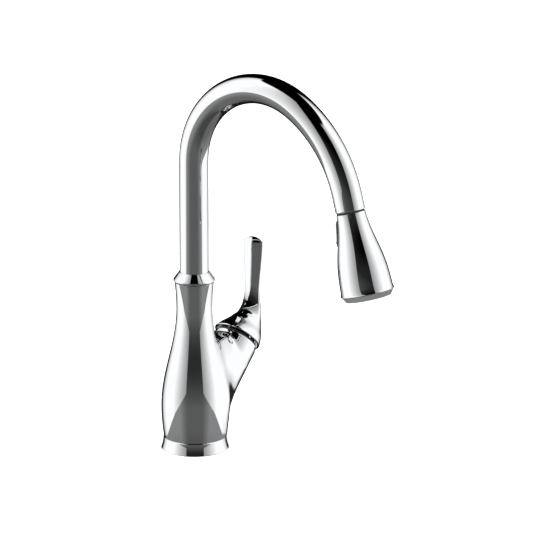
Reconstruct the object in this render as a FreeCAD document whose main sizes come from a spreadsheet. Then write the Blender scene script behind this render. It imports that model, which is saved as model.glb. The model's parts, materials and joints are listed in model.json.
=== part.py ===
"""Pull down kitchen faucet, one STEP file for each of its pieces.

Frame: millimetres, +Z up, origin on the deck under the centre of the base.
The spout reaches towards -Y and the handle stands on a branch towards +X.
"""
import FreeCAD, Part
import math
import os
import re
import Sketcher

V = FreeCAD.Vector
Z_AXIS = V(0, 0, 1)

# ---------------------------------------------------------------- driving dimensions, mm and degrees
SIZES = {
    # base and hollow body
    "base_radius": 34.8, "base_lip_radius": 32.3, "base_height": 13.0, "base_bore_radius": 24.5,
    "gasket_radius": 31.0, "gasket_thickness": 2.5,
    "belly_radius": 34.3, "belly_height": 45.0, "neck_radius": 18.3, "neck_height": 148.0,
    "body_top_radius": 20.1, "body_height": 175.7, "body_wall": 3.6,
    "socket_radius": 15.5, "socket_floor": 130.0, "socket_floor_thickness": 8.0,
    "block_radius": 24.0, "block_foot": 10.0, "block_height": 24.0,
    # branch that carries the valve
    "branch_tilt": 44.0, "branch_origin": 27.3, "branch_radius": 23.7, "branch_mouth": 95.0,
    "branch_root_x": 5.0, "branch_bend_radius": 110.0,
    "seat_floor": 54.0, "seat_top": 57.0, "port_radius": 3.0, "pipe_radius": 4.0, "pipe_bend_radius": 12.0,
    "port_across": 4.0, "nut_room_depth": 5.0,
    # ceramic cartridge
    "port_seal_wire": 0.75, "base_thickness": 6.5, "disc_thickness": 4.0, "disc_gap": 0.05,
    "mixing_radius": 6.5, "mixing_depth": 2.0, "carrier_cup_radius": 3.9, "carrier_cup_depth": 4.3,
    "pin_radius": 1.5, "pin_length": 26.0, "housing_lip": 1.7, "nut_bore_radius": 15.0,
    "trim_bore_radius": 18.0,
    "cartridge_radius": 17.5, "cartridge_top": 89.0, "disc_radius": 14.5, "moving_disc_radius": 11.0,
    "rotor_radius": 14.2, "rotor_neck_radius": 12.0, "rotor_top": 91.0, "pivot_height": 84.0,
    "stem_side": 8.0, "stem_top": 112.0,
    "trim_radius": 21.8, "trim_top": 100.5,
    # handle
    "skirt_plane": 102.3, "skirt_radius": 25.0, "handle_wall": 2.0, "hub_radius": 8.5,
    "lever_top": 202.0, "screw_rise": 7.0, "screw_radius": 2.5, "plug_radius": 3.2, "plug_at": 17.0,
    # spout
    "tube_radius": 14.8, "tube_wall": 1.3, "tube_foot": 178.0, "rise_top": 301.0,
    "crown_radius": 85.0, "crown_angle": 119.6, "reach_radius": 134.0, "reach_angle": 45.4,
    "outlet_length": 14.5,
    "collar_radius": 21.2, "collar_foot": 176.0, "collar_top": 186.5, "shank_radius": 15.0,
    "shank_bore_radius": 8.0, "shank_overlap": 24.0, "stop_height": 160.0, "stop_radius": 2.0,
    "seal_radius": 1.2, "low_groove": 142.0, "high_groove": 150.0, "groove_width": 3.0, "bush_length": 7.0,
    "hose_radius": 5.5, "hose_wall": 2.0, "hose_tail": 58.0, "hose_end": 14.0,
    # spray head
    "head_top_radius": 14.5, "head_bend_radius": 20.2, "head_bend_at": 34.5, "head_waist_radius": 25.3,
    "head_waist_at": 69.0, "head_rim_radius": 27.0, "head_length": 82.0, "head_wall": 2.2,
    "face_radius": 22.4, "face_depth": 6.0, "joint_gap": 0.6, "face_seat_radius": 23.2, "plate_radius": 19.4,
    "nozzle_radius": 0.9, "aerator_radius": 7.2,
    "connector_radius": 7.0, "dock_neck_radius": 12.2, "socket_inset": 9.6,
    "frame_top": 7.0, "frame_foot": 34.0, "frame_half_width": 8.0,
    "button_half_width": 5.8, "button_rise": 2.5, "button_back": 12.6, "button_plunger_tip": 3.0,
    "plunger_radius": 1.6, "plunger_at": 29.0, "frame_rise": 0.5, "spring_wire": 0.35,
    # below the deck
    "thread_radius": 16.2, "thread_bore": 14.5, "thread_foot": 62.0, "deck_thickness": 30.0,
    "washer_radius": 27.0, "washer_thickness": 3.0, "plate_thickness": 2.0, "nut_radius": 27.0,
    "nut_height": 12.0,
    "clamp_screw_circle": 20.5, "clamp_screw_radius": 2.0, "clamp_head_radius": 3.5, "clamp_head_height": 3.0,
    "inlet_circle": 10.3, "inlet_radius": 3.5, "inlet_depth": 8.0, "inlet_spread": 75.0,
}

doc = FreeCAD.newDocument("kitchen_faucet")
dims = doc.addObject("Spreadsheet::Sheet", "dims")
for row, (alias, size) in enumerate(SIZES.items(), start=1):
    dims.set(f"A{row}", alias)
    dims.set(f"B{row}", str(size))
    dims.setAlias(f"B{row}", alias)
doc.recompute()

NODES = []


# ---------------------------------------------------------------- expressions
def bound(expression):
    """The expression with each driving dimension pointed at the sheet."""
    def point(match):
        word = match.group()
        return "dims." + word if word in SIZES else word
    return re.sub(r"[a-z][a-z_0-9]*", point, str(expression))


def read(expression):
    """The value of an expression, in mm."""
    return float(dims.evalExpression(bound(expression)))


def sine(angle):
    return f"sin({angle} * 1 deg)"


def cosine(angle):
    return f"cos({angle} * 1 deg)"


# places that several pieces share, as expressions
TUBE_END_ANGLE = "(crown_angle + reach_angle)"
CROWN_Y = f"(-crown_radius + crown_radius * {cosine('crown_angle')})"
CROWN_Z = f"(rise_top + crown_radius * {sine('crown_angle')})"
REACH_Y = f"({CROWN_Y} - reach_radius * {cosine('crown_angle')})"
REACH_Z = f"({CROWN_Z} - reach_radius * {sine('crown_angle')})"
BEND_Y = f"({REACH_Y} + reach_radius * {cosine(TUBE_END_ANGLE)})"
BEND_Z = f"({REACH_Z} + reach_radius * {sine(TUBE_END_ANGLE)})"
JOINT_Y = f"({BEND_Y} - outlet_length * {sine(TUBE_END_ANGLE)})"
JOINT_Z = f"({BEND_Z} + outlet_length * {cosine(TUBE_END_ANGLE)})"


# ---------------------------------------------------------------- placing
def at_origin(piece):
    """Pieces that are modelled where they stand."""
    return piece


def place(piece, base, axis, angle):
    piece.Placement = FreeCAD.Placement(V(*[read(b) for b in base]), FreeCAD.Rotation(axis, read(angle)))
    for letter, value in zip("xyz", base):
        piece.setExpression(f"Placement.Base.{letter}", bound(value))
    return piece


def on_branch(piece):
    """Own Z runs out along the branch, from where its axis meets the body's axis."""
    return place(piece, (0, 0, "branch_origin"), V(0, 1, 0), "branch_tilt")


def on_head(piece):
    """Own Z runs down the spray head from its joint with the spout; own -Y faces the body."""
    return place(piece, (0, JOINT_Y, JOINT_Z), V(1, 0, 0), TUBE_END_ANGLE)


def node(piece, label):
    """Names a piece as one to write."""
    piece.Label = label
    NODES.append(piece)
    return piece


# ---------------------------------------------------------------- sketches
def plane(body, role):
    return next(f for f in body.Origin.OriginFeatures if f.Role == role)


def sketch_on(body, name, role="XY_Plane", offset=0):
    sketch = body.newObject("Sketcher::SketchObject", name)
    sketch.AttachmentSupport = [(plane(body, role), "")]
    sketch.MapMode = "FlatFace"
    sketch.AttachmentOffset = FreeCAD.Placement(V(0, 0, read(offset)), FreeCAD.Rotation())
    if offset:
        sketch.setExpression("AttachmentOffset.Base.z", bound(offset))
    return sketch


def arc_centre(start, end, radius):
    """Centre of an arc. It bulges to the right of its way when the radius is positive."""
    chord = end - start
    right = V(chord.y, -chord.x, 0).normalize()
    depth = math.sqrt(radius * radius - chord.Length * chord.Length / 4)
    return (start + end) * 0.5 - right * math.copysign(depth, radius)


def add_outline(sketch, corners, closed=True):
    """Lines and arcs through the corners, (across, up) or (across, up, radius of the arc that follows)."""
    points = [V(read(c[0]), read(c[1]), 0) for c in corners]
    count = len(points)
    edges = count if closed else count - 1
    for i in range(edges):
        start, end = points[i], points[(i + 1) % count]
        if len(corners[i]) == 2:
            sketch.addGeometry(Part.LineSegment(start, end))
            continue
        radius = read(corners[i][2])
        centre = arc_centre(start, end, radius)
        angles = [math.atan2(p.y - centre.y, p.x - centre.x) for p in (start, end)]
        if radius < 0:
            angles.reverse()
        if angles[1] < angles[0]:
            angles[1] += 2 * math.pi
        circle = Part.Circle(centre, Z_AXIS, abs(radius))
        sketch.addGeometry(Part.ArcOfCircle(circle, angles[0], angles[1]))

    def end_at(edge, point):
        return 1 if (sketch.Geometry[edge].StartPoint - point).Length < 1e-5 else 2

    for i in range(edges if closed else edges - 1):
        after = (i + 1) % edges
        shared = points[(i + 1) % count]
        ends = (i, end_at(i, shared), after, end_at(after, shared))
        sketch.addConstraint(Sketcher.Constraint("Coincident", *ends))
    for i in range(count):
        edge = min(i, edges - 1)
        end = end_at(edge, points[i])
        for letter, kind, value in (("x", "DistanceX", corners[i][0]), ("y", "DistanceY", corners[i][1])):
            name = f"{letter}{i}"
            size = points[i].x if letter == "x" else points[i].y
            sketch.renameConstraint(
                sketch.addConstraint(Sketcher.Constraint(kind, -1, 1, edge, end, size)), name)
            sketch.setExpression(f"Constraints.{name}", bound(value))
        if len(corners[i]) == 3 and i < edges:
            size = abs(read(corners[i][2]))
            sketch.renameConstraint(
                sketch.addConstraint(Sketcher.Constraint("Radius", i, size)), f"bend{i}")
            sketch.setExpression(f"Constraints.bend{i}", bound(f"abs({corners[i][2]})"))
    return sketch


def add_circles(sketch, centres, radius):
    """Circles of one radius, each with its centre bound."""
    for i, (x, y) in enumerate(centres):
        circle = sketch.addGeometry(Part.Circle(V(read(x), read(y), 0), Z_AXIS, read(radius)))
        for letter, kind, value in (("x", "DistanceX", x), ("y", "DistanceY", y)):
            name = f"{letter}{circle}"
            constraint = Sketcher.Constraint(kind, -1, 1, circle, 3, read(value))
            sketch.renameConstraint(sketch.addConstraint(constraint), name)
            sketch.setExpression(f"Constraints.{name}", bound(value))
        name = f"radius{circle}"
        sketch.renameConstraint(
            sketch.addConstraint(Sketcher.Constraint("Radius", circle, read(radius))), name)
        sketch.setExpression(f"Constraints.{name}", bound(radius))
    return sketch


# ---------------------------------------------------------------- features
def new_body(label):
    return doc.addObject("PartDesign::Body", label)


def revolve(body, corners):
    """A full turn of an outline (radius, height) about the body's own Z."""
    sketch = add_outline(sketch_on(body, body.Name + "_profile", "XZ_Plane"), corners)
    turn = body.newObject("PartDesign::Revolution", body.Name + "_turn")
    turn.Profile = sketch
    turn.ReferenceAxis = (sketch, ["V_Axis"])
    turn.Angle = 360
    return turn


def turned(label, corners, where=at_origin):
    """A piece made as one revolution."""
    body = new_body(label)
    revolve(body, corners)
    where(body)
    return node(body, label)


def ring_corners(inner, outer, low, high):
    return [(outer, low), (outer, high), (inner, high), (inner, low)]


def disc_corners(radius, low, high):
    return [(0, low), (radius, low), (radius, high), (0, high)]


def cut_up(body, sketch, depth):
    """A pocket that runs up from its sketch, with its depth bound."""
    doc.recompute()
    before = body.Shape.Volume
    pocket = body.newObject("PartDesign::Pocket", sketch.Name + "_pocket")
    pocket.Profile = sketch
    pocket.Reversed = True
    pocket.Length = read(depth)
    pocket.setExpression("Length", bound(depth))
    doc.recompute()
    if body.Shape.Volume > before - 0.5:
        raise ValueError(f"{pocket.Name} cuts nothing")
    return pocket


def drill(body, name, centres, radius, low, high):
    """Round holes along the body's own Z."""
    sketch = add_circles(sketch_on(body, name, "XY_Plane", low), centres, radius)
    return cut_up(body, sketch, f"({high}) - ({low})")


def pad_up(body, sketch, height):
    pad = body.newObject("PartDesign::Pad", sketch.Name + "_pad")
    pad.Profile = sketch
    pad.Length = read(height)
    pad.setExpression("Length", bound(height))
    return pad


def rectangle(wide, deep, middle_x=0, middle_y=0):
    """Corners of a rectangle about a middle point."""
    left, right = f"({middle_x}) - ({wide}) / 2", f"({middle_x}) + ({wide}) / 2"
    front, back = f"({middle_y}) - ({deep}) / 2", f"({middle_y}) + ({deep}) / 2"
    return [(left, front), (right, front), (right, back), (left, back)]


def polar(radius, angle):
    return (f"{radius} * {cosine(angle)}", f"{radius} * {sine(angle)}")


def helper(kind, name, where=at_origin, **sizes):
    """A Part primitive with its sizes bound, for use in a boolean."""
    solid = doc.addObject("Part::" + kind, name)
    for size, value in sizes.items():
        setattr(solid, size, read(value))
        solid.setExpression(size, bound(value))
    where(solid)
    return solid


def boolean(kind, name, base, tools):
    """Base with each tool cut from it or fused to it, in turn."""
    result = base
    for i, tool in enumerate(tools):
        step = doc.addObject("Part::" + kind, f"{name}_{kind.lower()}{i}")
        step.Base = result
        step.Tool = tool
        result = step
    return result


def swept(name, points, radius, inner=None):
    """A round bar, or a tube, along straight runs joined by tangent arcs.

    Each point is (corner, bend radius); the first and last have no bend.
    """
    edges = []
    last = points[0][0]
    for (corner, bend), (after, _) in zip(points[1:-1], points[2:]):
        come = (corner - last).normalize()
        go = (after - corner).normalize()
        turn = come.getAngle(go)
        start = corner - come * bend * math.tan(turn / 2)
        end = corner + go * bend * math.tan(turn / 2)
        centre = start + (go - come * come.dot(go)).normalize() * bend
        middle = centre + ((start + end) * 0.5 - centre).normalize() * bend
        if (start - points[0][0]).Length > 1e-6:
            edges.append(Part.LineSegment(last, start).toShape())
        edges.append(Part.Arc(start, middle, end).toShape())
        last = end
    edges.append(Part.LineSegment(last, points[-1][0]).toShape())
    path = Part.Wire(edges)
    way = edges[0].tangentAt(edges[0].FirstParameter)
    section = Part.Face(Part.Wire(Part.makeCircle(radius, points[0][0], way)))
    solid = path.makePipe(section)
    if inner is not None:
        solid = solid.cut(path.makePipe(Part.Face(Part.Wire(Part.makeCircle(inner, points[0][0], way)))))
    area = math.pi * (radius ** 2 - (inner or 0) ** 2)
    if abs(solid.Volume - area * path.Length) > 0.01 * solid.Volume:
        raise ValueError(f"{name} does not hold its section")
    feature = doc.addObject("Part::Feature", name)
    feature.Shape = solid
    return feature


def check(number, test, what):
    if not test:
        raise ValueError(f"{what} is wrong: {number}")


# ---------------------------------------------------------------- base
def make_base():
    turned("base_ring", [
        ("base_radius", 0), ("base_radius", 1.2, -42), ("base_lip_radius", "base_height - 1"),
        ("base_lip_radius - 0.9", "base_height"), ("base_bore_radius", "base_height"),
        ("base_bore_radius", "gasket_thickness"), ("gasket_radius", "gasket_thickness"),
        ("gasket_radius", 0)])
    turned("base_gasket", ring_corners("thread_radius + 1", "gasket_radius", 0, "gasket_thickness"))


# ---------------------------------------------------------------- body
NECK_BEND = "(pow(neck_height - belly_height; 2) + pow(belly_radius - neck_radius; 2))" \
            " / (4 * (belly_radius - neck_radius))"
TOP_BEND = "pow(body_height - neck_height; 2) / (2 * (body_top_radius - neck_radius))"
BEND_HEIGHT = "(neck_height + belly_height) / 2"
BEND_RADIUS = "(neck_radius + belly_radius) / 2"
FOOT_RADIUS = f"(belly_radius - {NECK_BEND} + sqrt(pow({NECK_BEND}; 2) - pow(belly_height - base_height; 2)))"


# cartridge ports in the branch's own frame (across, side)
PORT_SIDE = f"inlet_circle * {sine('inlet_spread')}"
PORTS = [("1 - port_across", PORT_SIDE), ("1 - port_across", f"-{PORT_SIDE}"), ("port_across", 0)]


def branch_point(along, across=0, side=0):
    """A point in the row frame from the branch's own frame; across leans away from the body."""
    tilt = math.radians(read("branch_tilt"))
    out = V(math.sin(tilt), 0, math.cos(tilt))
    lean = V(math.cos(tilt), 0, -math.sin(tilt))
    return V(0, side, read("branch_origin")) + out * along + lean * across


def branch_route(low, high):
    """The bent line of the branch from the base up to its own axis."""
    root = read("branch_root_x")
    corner_at = root / math.sin(math.radians(read("branch_tilt")))
    return [(V(root, 0, low), 0), (branch_point(corner_at), read("branch_bend_radius")),
            (branch_point(high), 0)]


def make_body():
    outer = new_body("vase_outer")
    revolve(outer, [
        (0, "base_height"), (FOOT_RADIUS, "base_height", NECK_BEND),
        (BEND_RADIUS, BEND_HEIGHT, f"-({NECK_BEND})"), ("neck_radius", "neck_height", f"-({TOP_BEND})"),
        ("body_top_radius", "body_height"), (0, "body_height")])
    inner = new_body("vase_inner")
    revolve(inner, [
        (0, 0), ("block_radius", 0), ("block_radius", "block_height"),
        ("belly_radius - body_wall - 1.5", "block_height + 1.5"),
        ("belly_radius - body_wall", "belly_height"), (f"{BEND_RADIUS} - body_wall", BEND_HEIGHT),
        ("socket_radius", "socket_floor - socket_floor_thickness"),
        (0, "socket_floor - socket_floor_thickness")])
    throat = new_body("vase_throat")
    revolve(throat, [
        (0, 100), ("hose_radius + 5.5", 100), ("hose_radius + 5.5", "socket_floor"),
        ("socket_radius", "socket_floor"), ("socket_radius", 190), (0, 190)])
    mouth = read("branch_mouth")
    tilt = math.radians(read("branch_tilt"))
    corner = read("branch_origin") + read("branch_root_x") / math.tan(tilt)
    bend_start = corner - read("branch_bend_radius") * math.tan(tilt / 2) - 1
    branch = swept("branch_outer", branch_route(bend_start, mouth), read("branch_radius"))
    hollow = swept("branch_hollow", branch_route(bend_start, read("seat_floor")),
                   read("branch_radius - body_wall"))
    bore = new_body("branch_bore")
    revolve(bore, [
        (0, "seat_top"), ("cartridge_radius + 0.5", "seat_top"),
        ("cartridge_radius + 0.5", "cartridge_top - nut_room_depth"),
        ("trim_radius - 0.9", "cartridge_top - nut_room_depth"), ("trim_radius - 0.9", "branch_mouth + 5"),
        (0, "branch_mouth + 5")])
    on_branch(bore)
    below = helper("Cylinder", "below_body", Radius="base_radius * 2", Height="base_height + 60")
    below.Placement = FreeCAD.Placement(V(0, 0, -60), FreeCAD.Rotation())
    below_block = helper("Cylinder", "block_room", Radius="base_radius * 2", Height="block_height + 60")
    below_block.Placement = FreeCAD.Placement(V(0, 0, -60), FreeCAD.Rotation())
    ports = new_body("seat_ports")
    sketch = sketch_on(ports, "port_circles", "XY_Plane", "seat_floor - 6")
    add_circles(sketch, PORTS, "port_radius")
    pad_up(ports, sketch, "seat_top - seat_floor + 12")
    on_branch(ports)
    stop_hole = helper("Cylinder", "stop_screw_hole", Radius="stop_radius", Height="socket_radius")
    place(stop_hole, (0, "shank_radius - 3", "stop_height"), V(1, 0, 0), -90)
    outside = boolean("Fuse", "outside", outer, [boolean("Cut", "branch_trim", branch, [below])])
    cavity = boolean("Cut", "branch_room", hollow, [below_block])
    shell = boolean("Cut", "body", outside, [inner, throat, cavity, bore, ports, stop_hole])
    node(shell, "body_shell")


def inlet_places():
    return [polar("inlet_circle", "inlet_spread"), polar("inlet_circle", "(-inlet_spread)"),
            ("inlet_circle", "0")]


def make_waterways():
    body = new_body("inlet_block")
    revolve(body, [
        ("thread_radius", "block_foot"), ("base_bore_radius - 0.5", "block_foot"),
        ("block_radius", "base_height"), ("block_radius", "block_height"),
        ("hose_radius + 0.4", "block_height"), ("hose_radius + 0.4", "block_foot + 4"),
        ("thread_radius", "block_foot + 4")])
    drill(body, "inlet_sockets", inlet_places(), "inlet_radius", "block_foot", "block_foot + 4 + inlet_depth")
    drill(body, "inlet_ways", inlet_places(), "port_radius", "block_foot", "block_height")
    node(body, "inlet_block")
    names = ("hot_pipe", "cold_pipe", "outlet_pipe")
    tilt = math.radians(read("branch_tilt"))
    for name, (x, y), (across, _) in zip(names, inlet_places(), PORTS):
        x = read(x)
        y = read(y)
        across = read(across)
        along = (x - across * math.cos(tilt)) / math.sin(tilt)
        foot = V(x, y, read("block_height"))
        route = [(foot, 0), (branch_point(along, across, y), read("pipe_bend_radius")),
                 (branch_point(read("seat_floor"), across, y), 0)]
        node(swept(name, route, read("pipe_radius"), read("port_radius")), name)


# ---------------------------------------------------------------- below the deck
def make_mounting():
    washer_foot = "(-deck_thickness - washer_thickness)"
    plate_foot = f"({washer_foot} - plate_thickness)"
    nut_foot = f"({plate_foot} - nut_height)"
    turned("mounting_shank", ring_corners("thread_bore", "thread_radius", "-thread_foot", "block_foot + 4"))
    turned("deck_washer", ring_corners("thread_radius", "washer_radius", washer_foot, "-deck_thickness"))
    turned("clamp_washer", ring_corners("thread_radius", "washer_radius + 0.5", plate_foot, washer_foot))
    nut = new_body("mounting_nut")
    sketch = sketch_on(nut, "nut_hexagon", "XY_Plane", nut_foot)
    add_outline(sketch, [polar("nut_radius", 60 * i) for i in range(6)])
    add_circles(sketch, [(0, 0)], "thread_radius")
    pad_up(nut, sketch, "nut_height")
    places = [polar("clamp_screw_circle", 120 * i + 30) for i in range(3)]
    drill(nut, "nut_screw_holes", places, "clamp_screw_radius", f"{nut_foot} - 0.5", f"{plate_foot} + 0.5")
    node(nut, "mounting_nut")
    screws = new_body("clamp_screws")
    shaft_foot = f"({nut_foot} - clamp_head_height)"
    sketch = sketch_on(screws, "screw_shafts", "XY_Plane", shaft_foot)
    add_circles(sketch, places, "clamp_screw_radius")
    pad_up(screws, sketch, "nut_height + clamp_head_height")
    sketch = sketch_on(screws, "screw_heads", "XY_Plane", f"{shaft_foot} - clamp_head_height")
    add_circles(sketch, places, "clamp_head_radius")
    pad_up(screws, sketch, "clamp_head_height")
    node(screws, "clamp_screws")


# ---------------------------------------------------------------- valve
def make_cartridge():
    seals = doc.addObject("Part::Feature", "port_seals")
    wire = read("port_seal_wire")
    seals.Shape = Part.makeCompound([
        Part.makeTorus(read("port_radius + 1"), wire, V(read(across), read(side), read("seat_top") + wire))
        for across, side in PORTS])
    on_branch(seals)
    node(seals, "port_seals")
    base_foot = "(seat_top + port_seal_wire * 2)"
    base_top = f"({base_foot} + base_thickness)"
    disc_top = f"({base_top} + disc_thickness)"
    moving_top = f"({disc_top} + disc_thickness)"
    base = new_body("cartridge_base")
    revolve(base, disc_corners("cartridge_radius", base_foot, base_top))
    drill(base, "base_ports", PORTS, "port_radius", f"{base_foot} - 0.5", f"{base_top} + 0.5")
    on_branch(base)
    node(base, "cartridge_base")
    fixed = new_body("fixed_disc")
    revolve(fixed, disc_corners("disc_radius", base_top, disc_top))
    drill(fixed, "disc_ports", PORTS, "port_radius - 0.6", f"{base_top} - 0.5", f"{disc_top} + 0.5")
    on_branch(fixed)
    node(fixed, "fixed_disc")
    moving = new_body("moving_disc")
    revolve(moving, disc_corners("moving_disc_radius", f"{disc_top} + disc_gap", moving_top))
    drill(moving, "mixing_pocket", [(0, 0)], "mixing_radius", f"{disc_top} - 0.5", f"{disc_top} + mixing_depth")
    on_branch(moving)
    node(moving, "moving_disc")
    carrier_top = "(pivot_height - 5.2)"
    turned("disc_carrier", [
        (0, moving_top), ("moving_disc_radius", moving_top), ("moving_disc_radius", carrier_top),
        ("carrier_cup_radius", carrier_top), ("carrier_cup_radius", f"{carrier_top} - carrier_cup_depth"),
        (0, f"{carrier_top} - carrier_cup_depth")], on_branch)
    turned("cartridge_housing", [
        ("disc_radius + 0.2", base_top), ("cartridge_radius", base_top),
        ("cartridge_radius", "cartridge_top"), ("rotor_neck_radius + 0.4", "cartridge_top"),
        ("rotor_neck_radius + 0.4", "cartridge_top - housing_lip"),
        ("disc_radius + 0.2", "cartridge_top - housing_lip")], on_branch)
    rotor = new_body("cartridge_rotor")
    rotor_foot = "(pivot_height - 4.8)"
    revolve(rotor, [
        (0, rotor_foot), ("rotor_radius", rotor_foot), ("rotor_radius", "cartridge_top - housing_lip - 0.3"),
        ("rotor_neck_radius", "cartridge_top - housing_lip - 0.3"), ("rotor_neck_radius", "rotor_top"),
        (0, "rotor_top")])
    slot = sketch_on(rotor, "rotor_slot", "XY_Plane", f"{rotor_foot} - 0.2")
    add_outline(slot, rectangle("stem_side * 2", "stem_side + 0.6"))
    cut_up(rotor, slot, f"rotor_top - {rotor_foot} + 1")
    hole = sketch_on(rotor, "rotor_pin_hole", "XZ_Plane")
    add_circles(hole, [(0, "pivot_height")], "pin_radius")
    doc.recompute()
    pin_way = rotor.newObject("PartDesign::Pocket", "rotor_pin_way")
    pin_way.Profile = hole
    pin_way.Type = "ThroughAll"
    pin_way.Midplane = True
    on_branch(rotor)
    node(rotor, "cartridge_rotor")
    pin = new_body("pivot_pin")
    sketch = add_circles(sketch_on(pin, "pin_circle", "XZ_Plane"), [(0, "pivot_height")], "pin_radius")
    length = pad_up(pin, sketch, "pin_length")
    length.Midplane = True
    on_branch(pin)
    node(pin, "pivot_pin")
    nut_foot = "(cartridge_top - nut_room_depth)"
    turned("cartridge_nut", [
        ("cartridge_radius + 0.1", nut_foot), ("trim_radius - 0.9", nut_foot),
        ("trim_radius - 0.9", "branch_mouth - 2"), ("nut_bore_radius", "branch_mouth - 2"),
        ("nut_bore_radius", "cartridge_top"), ("cartridge_radius + 0.1", "cartridge_top")], on_branch)
    turned("trim_ring", [
        ("trim_bore_radius", "branch_mouth - 2"), ("trim_radius - 0.9", "branch_mouth - 2"),
        ("trim_radius - 0.9", "branch_mouth"), ("trim_radius", "branch_mouth"),
        ("trim_radius", "trim_top - 0.6"), ("trim_radius - 0.6", "trim_top"),
        ("trim_bore_radius", "trim_top")], on_branch)


# ---------------------------------------------------------------- handle
def oval(centre, across, side, tilt):
    """A closed oval wire, across in the branch's plane and side along Y, its face tilted towards +X."""
    wide = V(math.cos(math.radians(tilt)), 0, -math.sin(math.radians(tilt)))
    first = wide if across >= side else V(0, 1, 0)
    up = V(math.sin(math.radians(tilt)), 0, math.cos(math.radians(tilt)))
    if across == side:
        edge = Part.makeCircle(side)
    else:
        edge = Part.Ellipse(V(0, 0, 0), max(across, side), min(across, side)).toShape()
    edge.Placement = FreeCAD.Placement(centre, FreeCAD.Rotation(first, up.cross(first), up, "ZXY"))
    return Part.Wire(edge)


def make_handle():
    tilt = read("branch_tilt")
    skirt = read("skirt_plane")
    radius = read("skirt_radius")
    top = read("lever_top")
    sections = [
        oval(branch_point(skirt), radius, radius, tilt),
        oval(branch_point(skirt + 1.2), radius, radius, tilt),
        oval(branch_point(skirt + 15, 2.0), 19.2, 19.6, tilt),
        oval(branch_point(skirt + 27, 0.3), 13.6, 13.6, tilt - 4),
        oval(V(93.0, 0, 126.0), 9.0, 9.4, tilt - 20),
        oval(V(94.4, 0, 137.0), 6.6, 7.6, 8),
        oval(V(94.7, 0, 156.0), 5.2, 9.6, 3),
        oval(V(96.3, 0, 176.0), 5.0, 10.8, 5),
        oval(V(98.3, 0, 194.0), 4.8, 11.6, 6),
        oval(V(98.9, 0, top), 2.6, 7.0, 6)]
    outer = Part.makeLoft(sections, True, False)
    wall = read("handle_wall")
    out = branch_point(1) - branch_point(0)
    cone = Part.makeCone(radius - wall, 12.0, 24.0, branch_point(skirt - 0.01), out)
    hub = Part.makeCylinder(read("hub_radius"), 26, branch_point(skirt - 2), out)
    side = read("stem_side")
    socket = Part.makeBox(side, side, read("stem_top") - skirt + 2.2, V(-side / 2, -side / 2, skirt - 2.1))
    socket.Placement = frame_of_branch().multiply(socket.Placement)
    screw_at = skirt + read("screw_rise")
    plug_at = branch_point(screw_at, 0, read("plug_at"))
    way = Part.makeCylinder(read("screw_radius"), 40, branch_point(screw_at), V(0, 1, 0))
    plug_way = Part.makeCylinder(read("plug_radius"), 30, plug_at, V(0, 1, 0))
    solid = outer.cut(cone).fuse(hub.common(outer.fuse(hub))).cut(socket).cut(way).cut(plug_way)
    handle = doc.addObject("Part::Feature", "handle")
    handle.Shape = solid.removeSplitter()
    node(handle, "handle")
    pivot = read("pivot_height")
    corner = V(-side / 2, -side / 2, pivot - 3)
    stem = Part.makeBox(side, side, read("stem_top") - pivot + 3, corner)
    ball = Part.makeSphere(read("carrier_cup_radius - 0.4"), V(0, 0, pivot - 5.8))
    neck = Part.makeCylinder(2.6, 5, V(0, 0, pivot - 6))
    pin_hole = Part.makeCylinder(read("pin_radius + 0.06"), 30, V(0, -15, pivot), V(0, 1, 0))
    rod = doc.addObject("Part::Feature", "cartridge_stem")
    rod.Shape = stem.fuse([ball, neck]).cut(pin_hole)
    rod.Placement = frame_of_branch()
    node(rod, "cartridge_stem")
    screw = doc.addObject("Part::Feature", "handle_screw")
    thread = Part.makeCylinder(read("screw_radius"), 7, branch_point(screw_at, 0, side / 2), V(0, 1, 0))
    key = Part.makeCylinder(1.2, 3, branch_point(screw_at, 0, side / 2 + 4.5), V(0, 1, 0))
    screw.Shape = thread.cut(key)
    node(screw, "handle_screw")
    plug = doc.addObject("Part::Feature", "screw_plug")
    plug.Shape = plug_way.common(outer.cut(cone))
    node(plug, "screw_plug")


def frame_of_branch():
    rotation = FreeCAD.Rotation(V(0, 1, 0), read("branch_tilt"))
    return FreeCAD.Placement(V(0, 0, read("branch_origin")), rotation)


# ---------------------------------------------------------------- spout
def spout_route(start, short=0.0):
    """The spout's centreline as one wire, from a height on its rise to its joint."""
    crown, reach = read("crown_radius"), read("reach_radius")
    turn = math.radians(read("crown_angle"))
    end_turn = math.radians(read(TUBE_END_ANGLE))
    top = read("rise_top")
    crown_centre = V(0, -crown, top)
    reach_centre = V(0, read(REACH_Y), read(REACH_Z))

    def on(centre, radius, angle):
        return centre + V(0, math.cos(angle), math.sin(angle)) * radius

    joint = V(0, read(JOINT_Y), read(JOINT_Z))
    shoulder = on(crown_centre, crown, turn)
    bend_end = on(reach_centre, reach, end_turn)
    last = joint - (joint - bend_end).normalize() * short
    return Part.Wire([
        Part.LineSegment(V(0, 0, start), V(0, 0, top)).toShape(),
        Part.Arc(V(0, 0, top), on(crown_centre, crown, turn / 2), shoulder).toShape(),
        Part.Arc(shoulder, on(reach_centre, reach, (turn + end_turn) / 2), bend_end).toShape(),
        Part.LineSegment(bend_end, last).toShape()])


def bar_along(path, radius):
    start = path.OrderedVertexes[0].Point
    return path.makePipe(Part.Face(Part.Wire(Part.makeCircle(radius, start, Z_AXIS))))


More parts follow.
